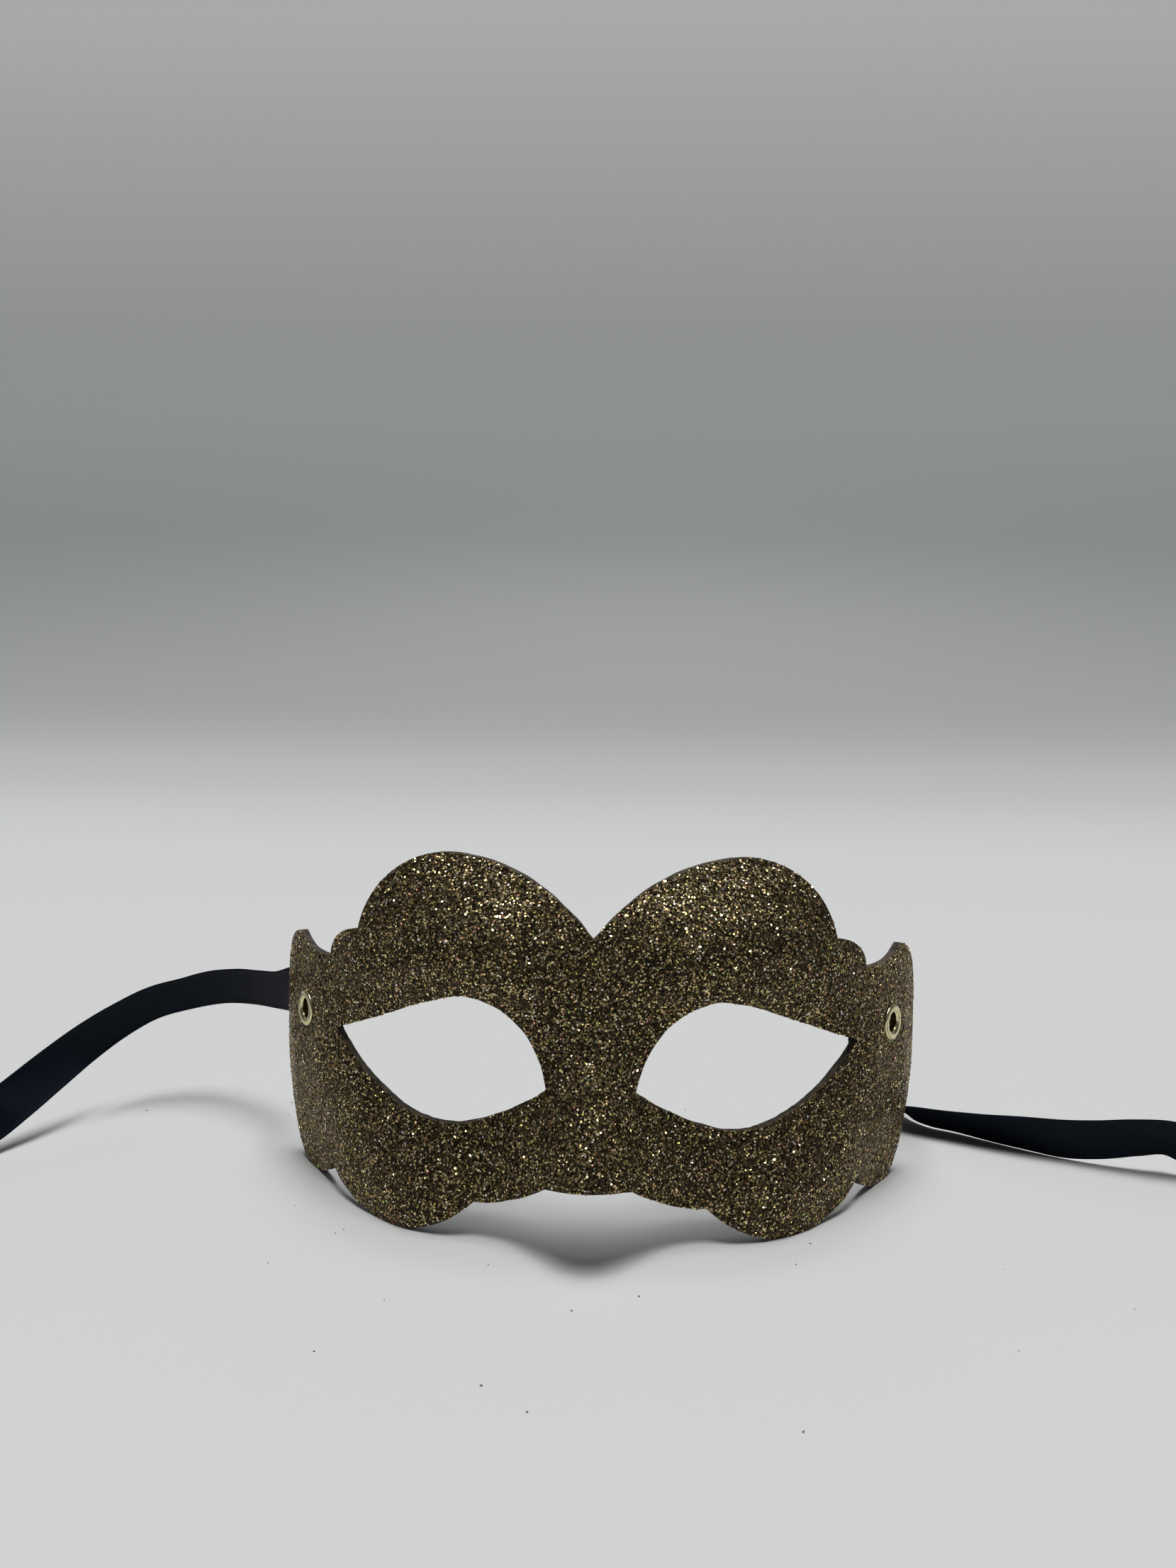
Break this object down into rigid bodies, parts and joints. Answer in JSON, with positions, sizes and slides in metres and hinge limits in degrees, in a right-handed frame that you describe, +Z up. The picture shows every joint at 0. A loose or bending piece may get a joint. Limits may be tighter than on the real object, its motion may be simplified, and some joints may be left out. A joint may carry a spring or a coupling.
{
  "type": "venetian masquerade mask",
  "caption": "Venetian half mask: scalloped papier-mache shell with a gold glitter front and black lining, brass eyelets in its wings and black satin tie ribbons.",
  "frame": {"origin": "on the table, under the middle of the mask, between its front and rear", "axes": "+X to the right as seen from the front, the front faces -Y, +Z up"},
  "size_m": [0.4944, 0.143, 0.091],
  "materials": {
    "papier_mache": "matte pressed paper pulp, dark at the cut edges",
    "gold_glitter": "fine antique gold glitter over a dark bronze ground",
    "black_lining": "matte black brushed lining paint",
    "brass": "polished pale brass",
    "black_satin": "black satin ribbon with woven edges"
  },
  "bodies": {
    "root": {"papier_shell": "papier_mache", "glitter_coat": "gold_glitter", "black_lining": "black_lining", "eyelet_left": "brass", "eyelet_right": "brass", "washer_left": "brass", "washer_right": "brass", "ribbon_tab_left": "black_satin", "ribbon_tab_right": "black_satin", "ribbon_left": "black_satin", "ribbon_right": "black_satin", "ribbon_coil_left": "black_satin", "ribbon_coil_right": "black_satin"}
  },
  "joints": []
}
